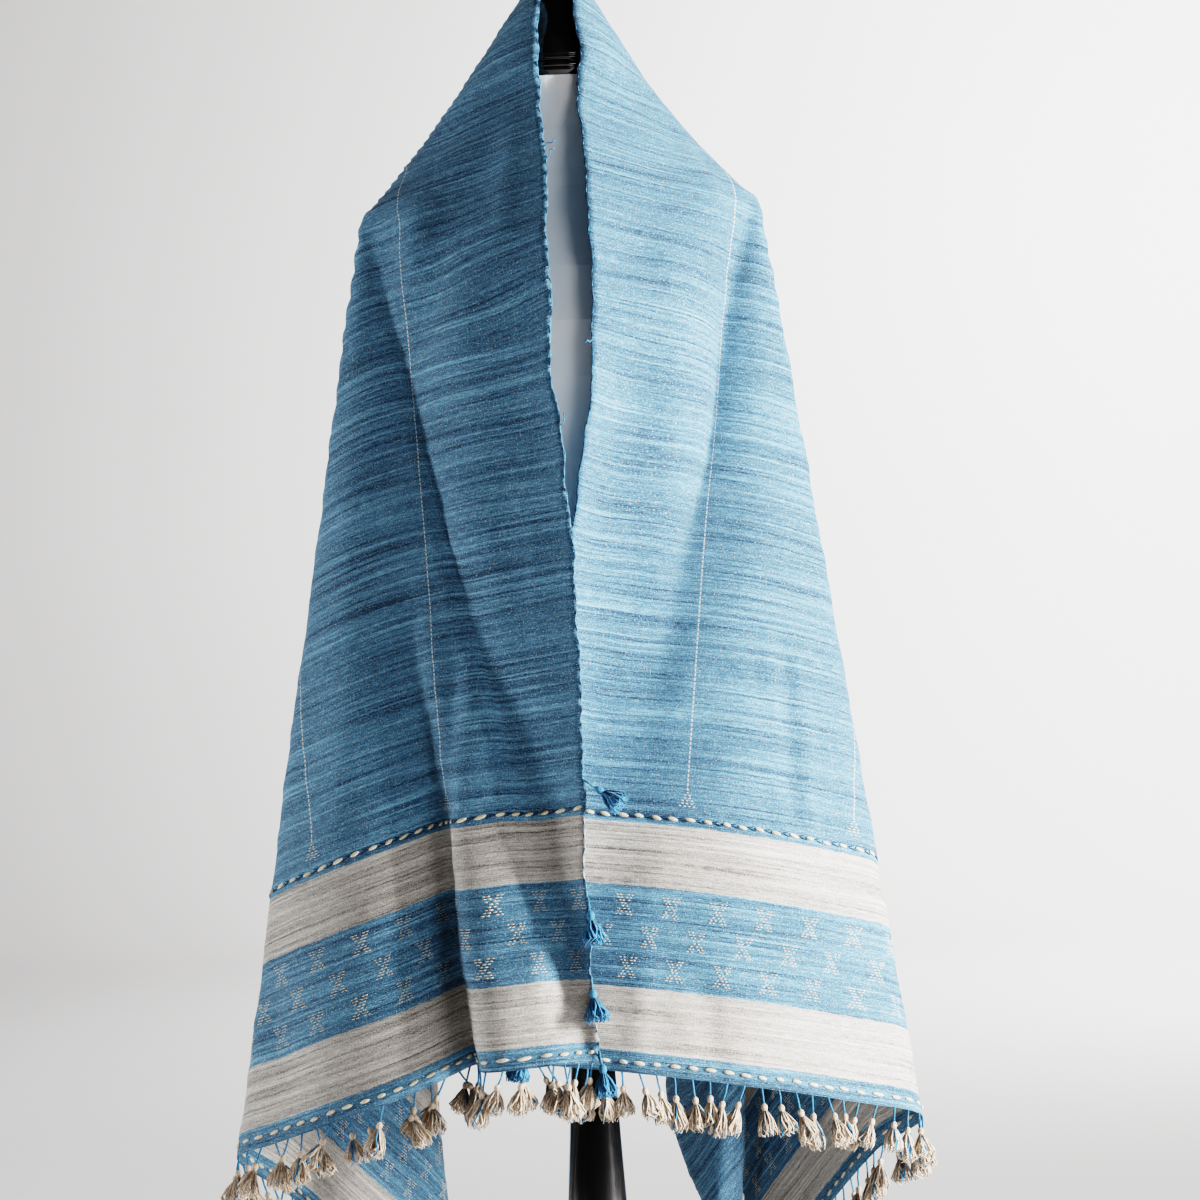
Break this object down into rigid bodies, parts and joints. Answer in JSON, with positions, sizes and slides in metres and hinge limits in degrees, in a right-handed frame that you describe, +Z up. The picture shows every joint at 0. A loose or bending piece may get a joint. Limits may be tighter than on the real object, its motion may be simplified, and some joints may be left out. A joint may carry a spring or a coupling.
{
  "type": "shawl on a dress form",
  "caption": "Handwoven blue shawl with striped, tasselled ends, draped over a limbless dress form on a round stand.",
  "frame": {"origin": "centre of the stand base's underside, on the floor", "axes": "+Z up along the post, +X to the wearer's left (the viewer's right), -Y towards the front"},
  "size_m": [0.6414, 0.4525, 1.537],
  "materials": {
    "shawl_cloth": "matte",
    "fringe_yarn": "matte",
    "blue_yarn": "matte",
    "form_cover": "matte",
    "black_lacquer": "gloss"
  },
  "bodies": {
    "root": {"shawl_back": "shawl_cloth", "shawl_right_front": "shawl_cloth", "shawl_left_front": "shawl_cloth", "fringe_right": "fringe_yarn", "fringe_left": "fringe_yarn", "edge_tassel_1": "blue_yarn", "edge_tassel_2": "blue_yarn", "edge_tassel_3": "blue_yarn", "edge_tassel_4": "blue_yarn", "edge_tassel_5": "blue_yarn", "form_torso": "form_cover", "form_neck_cap": "black_lacquer", "form_post": "black_lacquer", "form_base": "black_lacquer"}
  },
  "joints": []
}
